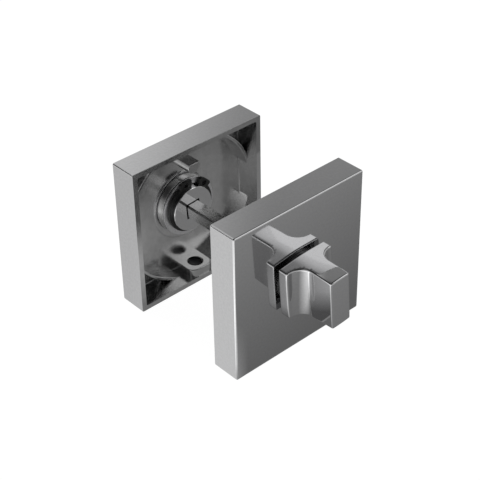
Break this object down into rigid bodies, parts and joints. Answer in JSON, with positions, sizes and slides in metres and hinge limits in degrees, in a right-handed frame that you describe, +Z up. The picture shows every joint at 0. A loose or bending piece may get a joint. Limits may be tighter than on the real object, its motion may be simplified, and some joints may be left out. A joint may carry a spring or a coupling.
{
  "type": "bathroom thumb turn lock",
  "caption": "Square bathroom turn and release set: a T-shaped thumb turn and a coin release, each on a hollow square rose, joined through the door by a square spindle.",
  "frame": {"origin": "on the spindle's axis, in the plane that the turn side's rose rests on the door with", "axes": "+Y along the spindle from the turn to the release, through the door; +Z up, so that the rose's grub screws are at the bottom; +X to the right as seen by who works the thumb turn"},
  "size_m": [0.052, 0.0763, 0.052],
  "materials": {
    "polished_chrome": "mirror polished chrome plate on a zinc casting",
    "bright_steel": "bright zinc plated steel",
    "spring_steel": "plain spring steel",
    "dark_steel": "blackened alloy steel",
    "black_steel": "black phosphated spring steel",
    "black_nylon": "plain moulded nylon"
  },
  "bodies": {
    "turn_base": {"turn_rose": "polished_chrome", "turn_grub_screw": "dark_steel", "turn_thrust_washer": "black_nylon", "turn_spring_washer": "spring_steel", "turn_flat_washer": "bright_steel"},
    "turn": {"thumb_turn": "polished_chrome", "turn_retaining_ring": "black_steel", "spindle": "bright_steel"},
    "release_base": {"release_rose": "polished_chrome", "release_grub_screw": "dark_steel", "release_thrust_washer": "black_nylon", "release_spring_washer": "spring_steel", "release_flat_washer": "bright_steel"},
    "release": {"release_disc": "polished_chrome", "release_retaining_ring": "black_steel"}
  },
  "joints": [
    {"name": "turn_rotation", "type": "hinge", "parent": "turn_base", "child": "turn", "pos_m": [0, 0, 0], "axis": [0, 1, 0], "range_deg": [0, 90]},
    {"name": "door_thickness_slide", "type": "slide", "parent": "turn_base", "child": "release_base", "axis": [0, 1, 0], "range_m": [0, 0.005]},
    {"name": "release_rotation", "type": "hinge", "parent": "release_base", "child": "release", "pos_m": [0, 0.035, 0], "axis": [0, 1, 0], "range_deg": [0, 90]}
  ],
  "couplings": [
    {"joint": "release_rotation", "follows": "turn_rotation", "ratio": 1}
  ]
}
